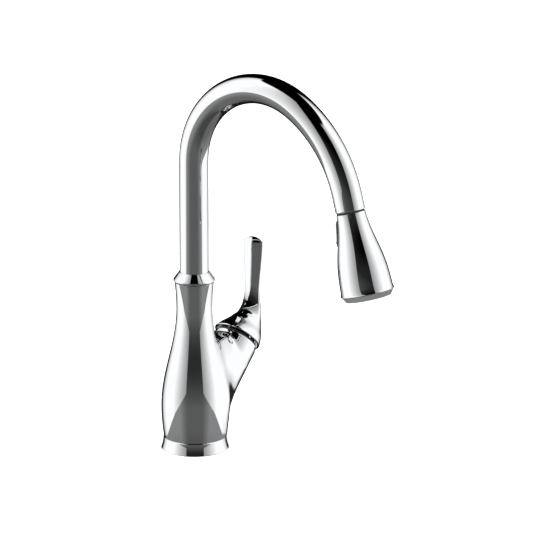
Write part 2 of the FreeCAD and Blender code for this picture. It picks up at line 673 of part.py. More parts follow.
def make_spout():
    path = spout_route(read("tube_foot"))
    radius, inner = read("tube_radius"), read("tube_radius - tube_wall")
    tube = doc.addObject("Part::Feature", "spout_tube")
    tube.Shape = bar_along(path, radius).cut(bar_along(path, inner))
    area = math.pi * (radius ** 2 - inner ** 2)
    check(tube.Shape.Volume, abs(tube.Shape.Volume / (area * path.Length) - 1) < 0.01, "tube volume")
    node(tube, "spout_tube")
    fit = "tube_radius - tube_wall"
    shank_foot = "(socket_floor + 1)"
    relief = "(stop_radius + 0.4)"
    corners = [("shank_bore_radius", shank_foot), ("shank_radius", shank_foot)]
    for low in ("low_groove", "high_groove"):
        corners += [
            ("shank_radius", low), ("shank_radius - 2.05", low),
            ("shank_radius - 2.05", f"{low} + groove_width"), ("shank_radius", f"{low} + groove_width")]
    corners += [
        ("shank_radius", f"stop_height - {relief}"), ("shank_radius - 1.6", f"stop_height - {relief}"),
        ("shank_radius - 1.6", f"stop_height + {relief}"), ("shank_radius", f"stop_height + {relief}"),
        ("shank_radius", "tube_foot"), (fit, "tube_foot"), (fit, "tube_foot + shank_overlap"),
        ("shank_bore_radius", "tube_foot + shank_overlap")]
    turned("swivel_shank", corners)
    seals = doc.addObject("Part::Feature", "swivel_seals")
    heights = [read(f"{low} + groove_width / 2") for low in ("low_groove", "high_groove")]
    seals.Shape = Part.makeCompound([
        Part.makeTorus(read("shank_radius - 0.8"), read("seal_radius"), V(0, 0, height)) for height in heights])
    node(seals, "swivel_seals")
    turned("spout_collar", [
        ("shank_radius + 0.1", "collar_foot"), ("collar_radius - 1", "collar_foot"),
        ("collar_radius", "collar_foot + 1"), ("collar_radius", "collar_foot + 2"),
        ("tube_radius + 0.4", "collar_top"), ("tube_radius", "collar_top"), ("tube_radius", "tube_foot"),
        ("shank_radius + 0.1", "tube_foot")])
    bush_bore = "shank_radius + 0.05"
    bush_top = "(body_height - 0.5)"
    low_bush = ring_corners(bush_bore, "socket_radius", shank_foot, f"{shank_foot} + bush_length")
    turned("lower_swivel_bush", low_bush)
    high_bush = ring_corners(bush_bore, "socket_radius", f"{bush_top} - bush_length", bush_top)
    turned("upper_swivel_bush", high_bush)
    screw = doc.addObject("Part::Cylinder", "spout_stop_screw")
    screw.Radius = read("stop_radius")
    screw.setExpression("Radius", bound("stop_radius"))
    screw.Height = 4.6
    place(screw, (0, "shank_radius - 1.1", "stop_height"), V(1, 0, 0), -90)
    node(screw, "spout_stop_screw")


def make_hose():
    path = spout_route(-read("hose_tail"), read("hose_end"))
    hose = doc.addObject("Part::Feature", "pull_down_hose")
    radius = read("hose_radius")
    hose.Shape = bar_along(path, radius).cut(bar_along(path, radius - read("hose_wall")))
    node(hose, "pull_down_hose")


# ---------------------------------------------------------------- spray head
def make_dock():
    fit = "tube_radius - tube_wall"
    turned("dock_sleeve", [
        ("dock_neck_radius", -22), ("dock_neck_radius", -14), (fit, -14), (fit, 0), ("dock_neck_radius", 0),
        ("dock_neck_radius", -4), ("socket_inset", -12), ("socket_inset", -22)], on_head)
    turned("dock_magnet", ring_corners("dock_neck_radius", "dock_neck_radius + 0.9", -20, -14), on_head)


def make_hose_end():
    bore = "hose_radius - hose_wall"
    groove = "connector_radius - 1.2"
    turned("hose_connector", [
        (bore, "-hose_end"), ("hose_radius + 2.2", "-hose_end"), ("hose_radius + 3.4", -10), (11.2, -3.4),
        (11.2, -0.6), ("connector_radius", 0.2), ("connector_radius", 16), (groove, 16),
        (groove, 17.6), ("connector_radius", 17.6), ("connector_radius", 22), (bore, 22)], on_head)
    seal = doc.addObject("Part::Feature", "connector_seal")
    seal.Shape = Part.makeTorus(read("connector_radius - 0.55"), 0.6, V(0, 0, 16.8))
    on_head(seal)
    node(seal, "connector_seal")
    turned("check_valve", disc_corners(bore, 12, 19), on_head)


FLARE_BEND = "(pow(head_bend_at - joint_gap; 2) + pow(head_bend_radius - head_top_radius; 2))" \
             " / (2 * (head_bend_radius - head_top_radius))"


def side_plate(body, name, corners, width):
    """A plate across the head, padded both ways from its outline (outward from the head, along the head)."""
    sketch = add_outline(sketch_on(body, name, "YZ_Plane"), [(f"-({out})", along) for out, along in corners])
    plate = pad_up(body, sketch, width)
    plate.Midplane = True
    return plate


def side_window(body, name, half_width, low, high, depth):
    """A window cut into the head's side that faces the body of the faucet."""
    sketch = sketch_on(body, name, "XZ_Plane")
    left = f"-({half_width})"
    add_outline(sketch, [(left, low), (half_width, low), (half_width, high), (left, high)])
    doc.recompute()
    before = body.Shape.Volume
    window = body.newObject("PartDesign::Pocket", name + "_cut")
    window.Profile = sketch
    window.Length = depth
    window.Reversed = True
    doc.recompute()
    check(body.Shape.Volume, body.Shape.Volume < before - 50, name)


def make_head():
    body = new_body("head_shell")
    revolve(body, [
        (11.8, "joint_gap"), ("head_top_radius", "joint_gap", f"-({FLARE_BEND})"),
        ("head_bend_radius", "head_bend_at", 125), ("head_waist_radius", "head_waist_at", -60),
        ("head_rim_radius", "head_length - 1"), ("head_rim_radius", "head_length"),
        ("face_seat_radius", "head_length"), ("face_seat_radius", "head_length - 6"),
        ("head_waist_radius - head_wall", "head_waist_at"),
        ("head_bend_radius - head_wall", "head_bend_at"), (12.4, "joint_gap + 14"), (11.8, "joint_gap + 8")])
    side_window(body, "frame_window", "frame_half_width", "frame_top", "frame_foot", 40)
    on_head(body)
    node(body, "head_shell")
    turned("head_steel_ring", ring_corners("connector_radius + 0.6", 11.6, 1.2, 4.0), on_head)
    core = new_body("head_core")
    revolve(core, [
        ("connector_radius + 0.06", 4.4), (11.2, 4.4), (11.2, 24), ("socket_inset", 26),
        ("socket_inset", 40), (17.5, 52),
        (17.5, 62), (21.3, 66), (21.3, 80), (19.4, 80), (19.4, 68), (6.0, 68), (6.0, 26),
        ("connector_radius + 0.06", 23)])
    hole = sketch_on(core, "plunger_way", "XZ_Plane")
    add_circles(hole, [(0, "plunger_at")], "plunger_radius + 0.06")
    doc.recompute()
    way = core.newObject("PartDesign::Pocket", "plunger_way_cut")
    way.Profile = hole
    way.Length = 12
    way.Reversed = True
    on_head(core)
    node(core, "head_core")


# the head's outside radius beside each end of the button's frame
FLARE_CENTRE = f"head_top_radius + {FLARE_BEND}"
FRAME_TOP_SURFACE = f"({FLARE_CENTRE} - sqrt(pow({FLARE_BEND}; 2) - pow(frame_top - joint_gap; 2)))"
FRAME_FOOT_SURFACE = f"({FLARE_CENTRE} - sqrt(pow({FLARE_BEND}; 2) - pow(frame_foot - joint_gap; 2)))"


def make_button():
    frame = new_body("button_frame")
    side_plate(frame, "frame_side", [
        (f"{FRAME_TOP_SURFACE} + frame_rise", "frame_top"),
        (f"{FRAME_FOOT_SURFACE} + frame_rise", "frame_foot"),
        (f"{FRAME_FOOT_SURFACE} - 2.4", "frame_foot"), (f"{FRAME_TOP_SURFACE} - 2.4", "frame_top")],
        "frame_half_width * 2")
    side_window(frame, "button_window", "button_half_width + 0.3", "frame_top + 2.7", "frame_foot - 2.7", 40)
    on_head(frame)
    node(frame, "button_frame")
    button = new_body("spray_button")
    side_plate(button, "button_side", [
        (f"{FRAME_TOP_SURFACE} + button_rise", "frame_top + 3"),
        (f"{FRAME_FOOT_SURFACE} + button_rise - 0.6", "frame_foot - 3"),
        ("button_back", "frame_foot - 3"), ("button_back", "frame_top + 3")], "button_half_width * 2")
    on_head(button)
    node(button, "spray_button")
    plunger = new_body("button_plunger")
    sketch = add_circles(sketch_on(plunger, "plunger_circle", "XZ_Plane", "button_plunger_tip"),
                         [(0, "plunger_at")], "plunger_radius")
    pad_up(plunger, sketch, "button_back - button_plunger_tip")
    on_head(plunger)
    node(plunger, "button_plunger")
    wire = read("spring_wire")
    coil = read("plunger_radius") + 0.75
    length = read("button_back - socket_inset") - 2 * wire - 0.1
    helix = Part.makeHelix(length / 3, length, coil)
    section = Part.Wire(Part.makeCircle(wire, V(coil, 0, 0), V(0, 1, 0)))
    spring = doc.addObject("Part::Feature", "button_spring")
    coils = Part.Wire(helix).makePipeShell([section], True, True)
    coils.Placement = FreeCAD.Placement(
        V(0, -read("socket_inset") - wire - 0.05, read("plunger_at")), FreeCAD.Rotation(V(1, 0, 0), 90))
    spring.Shape = Part.makeCompound([coils])
    on_head(spring)
    node(spring, "button_spring")


def ring_places(count, radius):
    return [polar(radius, 360 / count * i) for i in range(count)]


def make_face():
    turned("face_ring", [
        ("head_rim_radius - 0.6", "head_length"), ("face_radius", "head_length + face_depth"),
        ("plate_radius", "head_length + face_depth"), ("plate_radius", "head_length - 1.8"),
        ("face_seat_radius", "head_length - 1.8"), ("face_seat_radius", "head_length")], on_head)
    low, high = "head_length + face_depth - 4.5", "head_length + face_depth - 0.5"
    places = ring_places(12, 11.0) + ring_places(18, 15.5)
    plate = new_body("spray_face")
    revolve(plate, ring_corners("aerator_radius", "plate_radius", low, high))
    drill(plate, "nozzle_holes", places, "nozzle_radius", f"{low} - 0.2", f"{high} + 0.2")
    on_head(plate)
    node(plate, "spray_face")
    nozzles = doc.addObject("Part::Feature", "spray_nozzles")
    nozzle = Part.makeCylinder(read("nozzle_radius"), read(f"{high} - ({low}) + 0.8"))
    nozzles.Shape = Part.makeCompound([
        nozzle.translated(V(read(x), read(y), read(low) - 0.2)) for x, y in places])
    on_head(nozzles)
    node(nozzles, "spray_nozzles")
    outlet = ring_corners("aerator_radius - 1.2", "aerator_radius", f"{low} - 2", f"{high} + 0.6")
    turned("stream_outlet", outlet, on_head)
    screen = new_body("aerator_screen")
    revolve(screen, disc_corners("aerator_radius - 1.2", f"{high} - 1.2", f"{high} - 0.6"))
    mesh = [(0, 0)] + ring_places(6, 2.2) + ring_places(12, 4.2)
    drill(screen, "screen_holes", mesh, 0.7, f"{high} - 1.4", f"{high} - 0.4")
    on_head(screen)
    node(screen, "aerator_screen")


# ---------------------------------------------------------------- build everything
make_base()
make_body()
make_waterways()
make_mounting()
make_cartridge()
make_handle()
make_spout()
make_hose()
make_dock()
make_hose_end()
make_head()
make_button()
make_face()
doc.recompute()

for piece in doc.Objects:
    if any(word in piece.State for word in ("Invalid", "Error")):
        raise RuntimeError(f"{piece.Label} failed: {piece.State}")
os.makedirs("parts", exist_ok=True)
for piece in NODES:
    shape = piece.Shape
    if shape.isNull() or not shape.isValid():
        raise RuntimeError(f"{piece.Label} has no valid shape")
for piece in NODES:
    piece.Shape.exportStep(f"parts/{piece.Label}.step")
    box = piece.Shape.BoundBox
    print(f"{piece.Label:20s} {len(piece.Shape.Solids)} {piece.Shape.Volume:10.1f}  "
          f"{box.XMin:7.1f} {box.XMax:7.1f} {box.YMin:7.1f} {box.YMax:7.1f} {box.ZMin:7.1f} {box.ZMax:7.1f}")
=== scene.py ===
"""Looks of the pull down kitchen faucet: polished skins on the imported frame, with floor, light and camera."""
import json
import math
import bmesh
import bpy
import numpy as np
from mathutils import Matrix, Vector


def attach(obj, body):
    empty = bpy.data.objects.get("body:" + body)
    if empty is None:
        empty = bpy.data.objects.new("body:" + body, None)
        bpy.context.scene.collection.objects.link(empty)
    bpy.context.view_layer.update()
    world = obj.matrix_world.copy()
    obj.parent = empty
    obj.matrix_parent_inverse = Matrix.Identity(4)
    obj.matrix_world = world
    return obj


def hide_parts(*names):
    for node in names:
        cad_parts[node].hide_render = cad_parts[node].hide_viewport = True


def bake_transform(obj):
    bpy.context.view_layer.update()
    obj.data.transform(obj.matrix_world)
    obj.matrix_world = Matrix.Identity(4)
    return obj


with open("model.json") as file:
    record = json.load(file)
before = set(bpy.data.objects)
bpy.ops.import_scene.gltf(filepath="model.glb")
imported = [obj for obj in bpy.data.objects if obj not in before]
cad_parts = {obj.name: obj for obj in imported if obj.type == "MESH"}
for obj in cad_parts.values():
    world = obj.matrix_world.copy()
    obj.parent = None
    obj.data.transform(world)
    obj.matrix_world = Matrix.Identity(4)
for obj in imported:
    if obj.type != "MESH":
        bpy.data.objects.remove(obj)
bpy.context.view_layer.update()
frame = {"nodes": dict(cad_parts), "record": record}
MM = 0.001
RECORD = frame["record"]
JOINTS = {joint["name"]: joint for joint in RECORD["behaviour"]["joints"]}


def unit(vector):
    vector = np.asarray(vector, float)
    return vector / np.linalg.norm(vector)


# ------------------------------------------------------------------ frames of reference, in mm
BRANCH_AXIS = unit(JOINTS["temperature"]["axis"])
BRANCH_LEAN = np.array([BRANCH_AXIS[2], 0.0, -BRANCH_AXIS[0]])
PIVOT = np.array(JOINTS["temperature"]["pos_m"]) / MM
BRANCH_ORIGIN = PIVOT - BRANCH_AXIS * (PIVOT[0] / BRANCH_AXIS[0])
BRANCH_TILT = math.degrees(math.atan2(BRANCH_AXIS[0], BRANCH_AXIS[2]))
HEAD_AXIS = unit(JOINTS["head_turn"]["axis"])
HEAD_JOINT = np.array(JOINTS["head_turn"]["pos_m"]) / MM
HEAD_OWN_Y = unit(JOINTS["button_press"]["axis"])


def matrix_of(origin, x_axis, y_axis, z_axis):
    """A 4 x 4 matrix, in mm, with these axes as its columns."""
    matrix = np.eye(4)
    matrix[:3, 0], matrix[:3, 1], matrix[:3, 2], matrix[:3, 3] = x_axis, y_axis, z_axis, origin
    return matrix


ROW = np.eye(4)
ON_BRANCH = matrix_of(BRANCH_ORIGIN, BRANCH_LEAN, (0, 1, 0), BRANCH_AXIS)
ON_HEAD = matrix_of(HEAD_JOINT, (1, 0, 0), HEAD_OWN_Y, HEAD_AXIS)


# ------------------------------------------------------------------ mesh making
# edges sharper than these many degrees stay sharp: turned pieces and hose, spout and plates, handle
TURNED_SHARP, PIECE_SHARP, HANDLE_SHARP = 32.0, 40.0, 24.0


def add_object(name, vertices_mm, faces, place=ROW, sharp_angle=None):
    """A smooth shaded mesh object from points in mm in a placed frame."""
    points = np.asarray(vertices_mm, float)
    points = (points @ place[:3, :3].T + place[:3, 3]) * MM
    mesh = bpy.data.meshes.new(name)
    mesh.from_pydata(points.tolist(), [], [list(map(int, face)) for face in faces])
    mesh.validate()
    mesh.polygons.foreach_set("use_smooth", [True] * len(mesh.polygons))
    if sharp_angle:
        mesh.set_sharp_from_angle(angle=math.radians(sharp_angle))
    return link_object(name, mesh)


def link_object(name, data):
    thing = bpy.data.objects.new(name, data)
    bpy.context.scene.collection.objects.link(thing)
    return thing


def grid_faces(rows, columns):
    """Quads of a grid of points whose columns go round."""
    faces = []
    for row in range(rows - 1):
        for column in range(columns):
            after = (column + 1) % columns
            faces.append((row * columns + column, row * columns + after,
                          (row + 1) * columns + after, (row + 1) * columns + column))
    return faces


def full_turn(count):
    return np.linspace(0, 2 * math.pi, count, endpoint=False)


def rounded(corners, steps=7):
    """An outline with each corner (radius, height, rounding) turned into a small arc."""
    points = [np.array(corner[:2], float) for corner in corners]
    line = []
    for i, corner in enumerate(corners):
        size = corner[2] if len(corner) > 2 else 0.0
        if size <= 0 or i in (0, len(corners) - 1):
            line.append(points[i])
            continue
        come, go = unit(points[i] - points[i - 1]), unit(points[i + 1] - points[i])
        turn = math.acos(float(np.clip(come @ go, -1, 1)))
        if turn < 1e-3:
            line.append(points[i])
            continue
        reach = size * math.tan(turn / 2)
        start, end = points[i] - come * reach, points[i] + go * reach
        for step in range(steps + 1):
            t = step / steps
            line.append((1 - t) ** 2 * start + 2 * t * (1 - t) * points[i] + t * t * end)
    return line


def turned(name, outline, place=ROW, around=192):
    """A full turn of an outline of (radius, height) about the placed Z."""
    angles = full_turn(around)
    points = []
    for radius, height in outline:
        points.extend(np.c_[radius * np.cos(angles), radius * np.sin(angles), np.full(around, height)])
    piece = add_object(name, points, grid_faces(len(outline), around), place)
    clean(piece.data, TURNED_SHARP)
    return piece


def clean(mesh, sharp_angle):
    """Merges doubled points, points the faces outwards and marks the sharp edges."""
    work = bmesh.new()
    work.from_mesh(mesh)
    bmesh.ops.remove_doubles(work, verts=work.verts, dist=1e-7)
    bmesh.ops.dissolve_degenerate(work, edges=work.edges, dist=1e-7)
    bmesh.ops.recalc_face_normals(work, faces=work.faces)
    work.to_mesh(mesh)
    work.free()
    mesh.polygons.foreach_set("use_smooth", [True] * len(mesh.polygons))
    mesh.set_sharp_from_angle(angle=math.radians(sharp_angle))


def finish_piece(piece, body, slot, *replaced):
    """The piece rides on a body, wears its slot's material and stands in for the CAD nodes it replaces."""
    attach(piece, body)
    piece.data.materials.append(MATERIALS[slot])
    if replaced:
        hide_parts(*replaced)


# ------------------------------------------------------------------ materials
def new_material(name):
    material = bpy.data.materials.new(name)
    material.use_nodes = True
    nodes = material.node_tree.nodes
    return material, nodes, material.node_tree.links, nodes["Principled BSDF"]


def noise(nodes, links, scale, detail, stretch=(1, 1, 1)):
    """Noise on the object's own coordinates, in metres."""
    place = nodes.new("ShaderNodeTexCoord")
    mapping = nodes.new("ShaderNodeMapping")
    mapping.inputs["Scale"].default_value = stretch
    texture = nodes.new("ShaderNodeTexNoise")
    texture.inputs["Scale"].default_value = scale
    texture.inputs["Detail"].default_value = detail
    links.new(place.outputs["Object"], mapping.inputs["Vector"])
    links.new(mapping.outputs["Vector"], texture.inputs["Vector"])
    return texture.outputs["Fac"]


def spread(nodes, links, value, low, high, start=0.3, end=0.7):
    """A value mapped from the range start to end onto the range low to high."""
    ramp = nodes.new("ShaderNodeMapRange")
    ramp.inputs["From Min"].default_value = start
    ramp.inputs["From Max"].default_value = end
    ramp.inputs["To Min"].default_value = low
    ramp.inputs["To Max"].default_value = high
    links.new(value, ramp.inputs["Value"])
    return ramp.outputs["Result"]


def tint(nodes, links, value, dark, light):
    """A colour between two, by a texture's value."""
    mix = nodes.new("ShaderNodeMix")
    mix.data_type = "RGBA"
    mix.inputs[6].default_value = (*dark, 1)
    mix.inputs[7].default_value = (*light, 1)
    links.new(value, mix.inputs[0])
    return mix.outputs[2]


def bump(nodes, links, shader, value, depth_mm):
    """Bump from a texture, with its depth in mm."""
    relief = nodes.new("ShaderNodeBump")
    relief.inputs["Distance"].default_value = depth_mm * MM
    links.new(value, relief.inputs["Height"])
    links.new(relief.outputs["Normal"], shader.inputs["Normal"])


def metal(name, dark, light, rough_low, rough_high, scale, stretch=(1, 1, 1), depth_mm=0.0):
    """A metal whose colour and roughness vary a little, with machining marks where it has a depth."""
    material, nodes, links, shader = new_material(name)
    shader.inputs["Metallic"].default_value = 1.0
    value = noise(nodes, links, scale, 5.0, stretch)
    links.new(tint(nodes, links, value, dark, light), shader.inputs["Base Color"])
    links.new(spread(nodes, links, value, rough_low, rough_high), shader.inputs["Roughness"])
    if depth_mm:
        bump(nodes, links, shader, value, depth_mm)
    return material


def plastic(name, dark, light, rough_low, rough_high, scale=900.0, depth_mm=0.01):
    """A plastic, rubber or ceramic with a fine grain."""
    material, nodes, links, shader = new_material(name)
    value = noise(nodes, links, scale, 3.0)
    links.new(tint(nodes, links, value, dark, light), shader.inputs["Base Color"])
    links.new(spread(nodes, links, value, rough_low, rough_high), shader.inputs["Roughness"])
    bump(nodes, links, shader, value, depth_mm)
    return material


def braid_material():
    """Nylon braid: two crossing sets of strands, placed by position, so a drawn hose doesn't stretch them."""
    material, nodes, links, shader = new_material("hose_braid")
    geometry = nodes.new("ShaderNodeNewGeometry")
    waves = []
    for turn in (1, -1):
        mapping = nodes.new("ShaderNodeMapping")
        mapping.inputs["Rotation"].default_value = (math.radians(45 * turn), 0, math.radians(35 * turn))
        wave = nodes.new("ShaderNodeTexWave")
        wave.inputs["Scale"].default_value = 260.0
        wave.inputs["Distortion"].default_value = 0.3
        links.new(geometry.outputs["Position"], mapping.inputs["Vector"])
        links.new(mapping.outputs["Vector"], wave.inputs["Vector"])
        waves.append(wave.outputs["Fac"])
    cross = nodes.new("ShaderNodeMath")
    cross.operation = "MAXIMUM"
    links.new(waves[0], cross.inputs[0])
    links.new(waves[1], cross.inputs[1])
    value = cross.outputs[0]
    links.new(tint(nodes, links, value, (0.05, 0.05, 0.055), (0.42, 0.43, 0.44)), shader.inputs["Base Color"])
    shader.inputs["Roughness"].default_value = 0.55
    bump(nodes, links, shader, value, 0.25)
    return material


MATERIALS = {
    "chrome": metal("polished_chrome", (0.80, 0.81, 0.82), (0.86, 0.87, 0.88), 0.02, 0.05, 35.0),
    "brass": metal("machined_brass", (0.62, 0.47, 0.22), (0.80, 0.65, 0.36), 0.18, 0.34, 300.0,
                   stretch=(1, 1, 8), depth_mm=0.01),
    "copper": metal("drawn_copper", (0.62, 0.33, 0.22), (0.80, 0.50, 0.36), 0.15, 0.32, 200.0, depth_mm=0.01),
    "steel": metal("plain_steel", (0.50, 0.51, 0.52), (0.66, 0.67, 0.68), 0.18, 0.36, 400.0,
                   stretch=(1, 1, 6), depth_mm=0.01),
    "magnet": metal("coated_magnet", (0.12, 0.12, 0.13), (0.20, 0.20, 0.21), 0.3, 0.5, 300.0),
    "rubber": plastic("black_rubber", (0.012, 0.012, 0.012), (0.03, 0.03, 0.03), 0.55, 0.8, 700.0, 0.03),
    "white_plastic": plastic("white_acetal", (0.70, 0.70, 0.68), (0.82, 0.82, 0.80), 0.35, 0.5),
    "ceramic": plastic("lapped_ceramic", (0.80, 0.80, 0.77), (0.88, 0.88, 0.86), 0.12, 0.2, 300.0, 0.002),
    "black_plastic": plastic("black_plastic", (0.015, 0.015, 0.017), (0.03, 0.03, 0.032), 0.3, 0.45),
    "grey_plastic": plastic("grey_plastic", (0.13, 0.135, 0.14), (0.17, 0.175, 0.18), 0.25, 0.38),
    "braid": braid_material(),
}


def dress_nodes():
    """Every CAD node takes its slot's material."""
    for entry in RECORD["subparts"]:
        thing = frame["nodes"][entry["node"]]
        material = MATERIALS[entry["material_slot"]]
        for slot in thing.material_slots:
            slot.material = material
        if not thing.material_slots:
            thing.data.materials.append(material)


# ------------------------------------------------------------------ base, collar and trim
BASE_TOP_R, BASE_FLARE, BASE_TOP = 32.3, 2.5, 12.4


def make_base():
    """The base ring, which flares towards the deck."""
    flare = [(BASE_TOP_R + BASE_FLARE * (1 - z / BASE_TOP) ** 1.7, z) for z in np.linspace(1.0, 11.6, 16)]
    outline = [(24.5, 0.0), (34.0, 0.0, 0.4), (34.75, 0.4, 0.4)] + flare + [
        (BASE_TOP_R, 12.2, 0.5), (31.6, 13.0, 0.5), (24.5, 13.0)]
    piece = turned("base_ring_skin", rounded(outline), around=256)
    finish_piece(piece, "root", "chrome", "base_ring")


def make_collar():
    """The collar at the foot of the spout: a short band below a long cone."""
    outline = rounded([
        (15.2, 176.0), (20.2, 176.0, 0.5), (21.2, 177.2, 0.9), (21.2, 178.6, 0.9), (15.5, 186.4, 0.4),
        (14.85, 186.5, 0.2), (14.85, 178.2)])
    piece = turned("spout_collar_skin", outline, around=256)
    finish_piece(piece, "spout", "chrome", "spout_collar")


def make_trim():
    """The chrome trim on the branch's mouth, and above it a black ring under the handle's skirt, which paints
    the shade in the gap there.
    """
    piece = turned("trim_ring_skin", rounded([
        (18.0, 93.2), (20.8, 93.2), (20.8, 95.0), (23.2, 95.0, 0.3), (23.2, 98.8, 0.6), (18.2, 98.8),
        (18.0, 93.2)]), ON_BRANCH)
    finish_piece(piece, "root", "chrome", "trim_ring")
    # painted shade: a black plastic ring that stands for the shade in the recessed gap under the skirt
    gap_shade = turned("painted_gap_shade_ring", rounded([
        (18.2, 98.7), (21.6, 98.7), (21.6, 101.6, 0.5), (18.2, 101.6, 0.4), (18.2, 98.7)]), ON_BRANCH)
    finish_piece(gap_shade, "root", "black_plastic")


# ------------------------------------------------------------------ body: vase and branch in one smooth skin
NECK_R, NECK_Z, BELLY_R, BELLY_Z, BODY_FOOT, BODY_TOP = 18.4, 148.0, 34.3, 45.0, 13.0, 175.7
BELOW_BEND, ABOVE_BEND = 0.0025, 0.0022
BRANCH_R, BRANCH_MOUTH, BRANCH_ROOT_X, BRANCH_BEND = 23.7, 95.0, 5.0, 110.0
# the branch's line: upright at BRANCH_ROOT_X, an arc about (BEND_X, BEND_Z), then straight along its axis
TILT = math.radians(BRANCH_TILT)
BEND_X = BRANCH_ROOT_X + BRANCH_BEND
BEND_Z = BRANCH_ORIGIN[2] + BRANCH_ROOT_X / math.tan(TILT) - BRANCH_BEND * math.tan(TILT / 2)
BEND_RISE = BRANCH_BEND * math.sin(TILT)
# the web narrows above WEB_SHOULDER and ends in a rounded top
WEB_TOP, WEB_EASE, WEB_SHOULDER, WEB_FAR, WEB_FAR_R, WEB_NEAR = 111.0, 5.0, 85.0, 46.0, 22.8, 1.5
# how widely the surfaces melt together: web and branch, vase and both, and how much more of that low down
WEB_BLEND, BODY_BLEND, LOW_BLEND, LOW_Z, LOW_SPREAD, BLEND_REACH = 6.0, 7.0, 11.0, 56.0, 16.0, 16.0


def vase_radius(z):
    """The vase: a cosine between belly and neck, and gentle parabolas below and above."""
    middle = NECK_R + (BELLY_R - NECK_R) / 2 * (1 + np.cos(math.pi * (z - BELLY_Z) / (NECK_Z - BELLY_Z)))
    below = BELLY_R - BELOW_BEND * (BELLY_Z - z) ** 2
    above = NECK_R + ABOVE_BEND * (z - NECK_Z) ** 2
    return np.where(z < BELLY_Z, below, np.where(z > NECK_Z, above, middle))


def branch_distance(points):
    """Distance from the branch's bent line."""
    x, y, z = points.T
    angle = np.arctan2(z - BEND_Z, BEND_X - x)
    straight = np.hypot((x - BRANCH_ORIGIN[0]) * BRANCH_LEAN[0] + (z - BRANCH_ORIGIN[2]) * BRANCH_LEAN[2], y)
    bent = np.hypot(np.hypot(x - BEND_X, z - BEND_Z) - BRANCH_BEND, y)
    upright = np.hypot(x - BRANCH_ROOT_X, y)
    return np.where(angle > TILT, straight, np.where(angle < 0, upright, bent))


def smooth_least(one, two, blend):
    """The lesser of two distances, with the joint between them rounded."""
    near = np.maximum(blend - np.abs(one - two), 0) / blend
    return np.minimum(one, two) - near ** 3 * blend / 6


def web_distance(points):
    """The web that fills the room between the vase and the branch, at each height the hull of two circles."""
    x, y, z = points.T
    rise = np.clip(z - BEND_Z, 0, BEND_RISE)
    bent = BEND_X - np.sqrt(BRANCH_BEND ** 2 - rise ** 2)
    far = np.where(z > BEND_Z + BEND_RISE, (z - BRANCH_ORIGIN[2]) * math.tan(TILT), bent)
    upper = np.maximum(z - WEB_SHOULDER, 0)
    far = np.minimum(far, WEB_FAR - upper * 0.45)
    far_radius = np.maximum(WEB_FAR_R - upper * 0.38, 4.0)
    near_radius = vase_radius(z) - 1.5
    span = np.maximum(far - WEB_NEAR, 0.5)
    slope = np.clip((near_radius - far_radius) / span, -0.95, 0.95)
    height = np.sqrt(1 - slope ** 2)
    across, up = x - WEB_NEAR, np.abs(y)
    # the part of the hull that the point is nearest to: near circle, flank or far circle
    share = across - up * slope / height
    flank = across * slope + up * height - near_radius
    near = np.hypot(across, up) - near_radius
    distant = np.hypot(across - span, up) - far_radius
    web = np.where(share < 0, near, np.where(share > span, distant, flank))
    top = z - WEB_TOP
    ease = np.maximum(WEB_EASE - np.abs(web - top), 0) / WEB_EASE
    return np.maximum(web, top) + ease ** 3 * WEB_EASE / 6


def body_field(points):
    """Signed distance of the body: vase, branch and the web between them in one smooth surface."""
    x, y, z = points.T
    vase = (np.hypot(x, y) - vase_radius(z)) * 0.97
    branch = branch_distance(points) - BRANCH_R
    low = np.exp(-((z - LOW_Z) / LOW_SPREAD) ** 2)
    reach = np.clip(x / BLEND_REACH, 0.02, 1)
    blend = (BODY_BLEND + LOW_BLEND * low) * reach * reach * (3 - 2 * reach)
    return smooth_least(vase, smooth_least(branch, web_distance(points), WEB_BLEND), blend)


def gradient(field, points, step=0.02):
    """The field's slope at each point, by central differences."""
    sides = []
    for axis in range(3):
        offset = np.zeros(3)
        offset[axis] = step
        sides.append((field(points + offset) - field(points - offset)) / (2 * step))
    return np.array(sides).T


def surface_net(field, low, high, cell):
    """A quad mesh of field = 0 in a box, each point then drawn onto the surface."""
    counts = np.ceil((np.array(high) - low) / cell).astype(int) + 1
    axes = [low[i] + cell * np.arange(counts[i]) for i in range(3)]
    grid = np.stack(np.meshgrid(*axes, indexing="ij"), -1)
    inside = (field(grid.reshape(-1, 3)) < 0).reshape(counts)
    corner_sum = sum(
        inside[a:counts[0] - 1 + a, b:counts[1] - 1 + b, c:counts[2] - 1 + c].astype(int)
        for a in (0, 1) for b in (0, 1) for c in (0, 1))
    mixed = (corner_sum > 0) & (corner_sum < 8)
    index = -np.ones(mixed.shape, int)
    index[mixed] = np.arange(mixed.sum())
    points = np.argwhere(mixed) * cell + low + cell / 2
    for _ in range(6):
        slope = gradient(field, points)
        points = points - slope * (field(points) / np.maximum((slope ** 2).sum(1), 1e-6))[:, None]
    faces = []
    for axis in range(3):
        one, two = [other for other in range(3) if other != axis]
        shifted = np.roll(inside, -1, axis)
        change = np.argwhere(inside != shifted)
        change = change[(change[:, axis] < counts[axis] - 1) & (change[:, one] > 0) & (change[:, two] > 0)
                        & (change[:, one] < counts[one] - 1) & (change[:, two] < counts[two] - 1)]
        quad = []
        for back_one, back_two in ((1, 1), (0, 1), (0, 0), (1, 0)):
            cells = change.copy()
            cells[:, one] -= back_one
            cells[:, two] -= back_two
            quad.append(index[tuple(cells.T)])
        quad = np.stack(quad, 1)
        flip = inside[tuple(change.T)] ^ (axis == 1)
        quad[flip] = quad[flip][:, ::-1]
        faces.append(quad)
    return points, np.concatenate(faces)


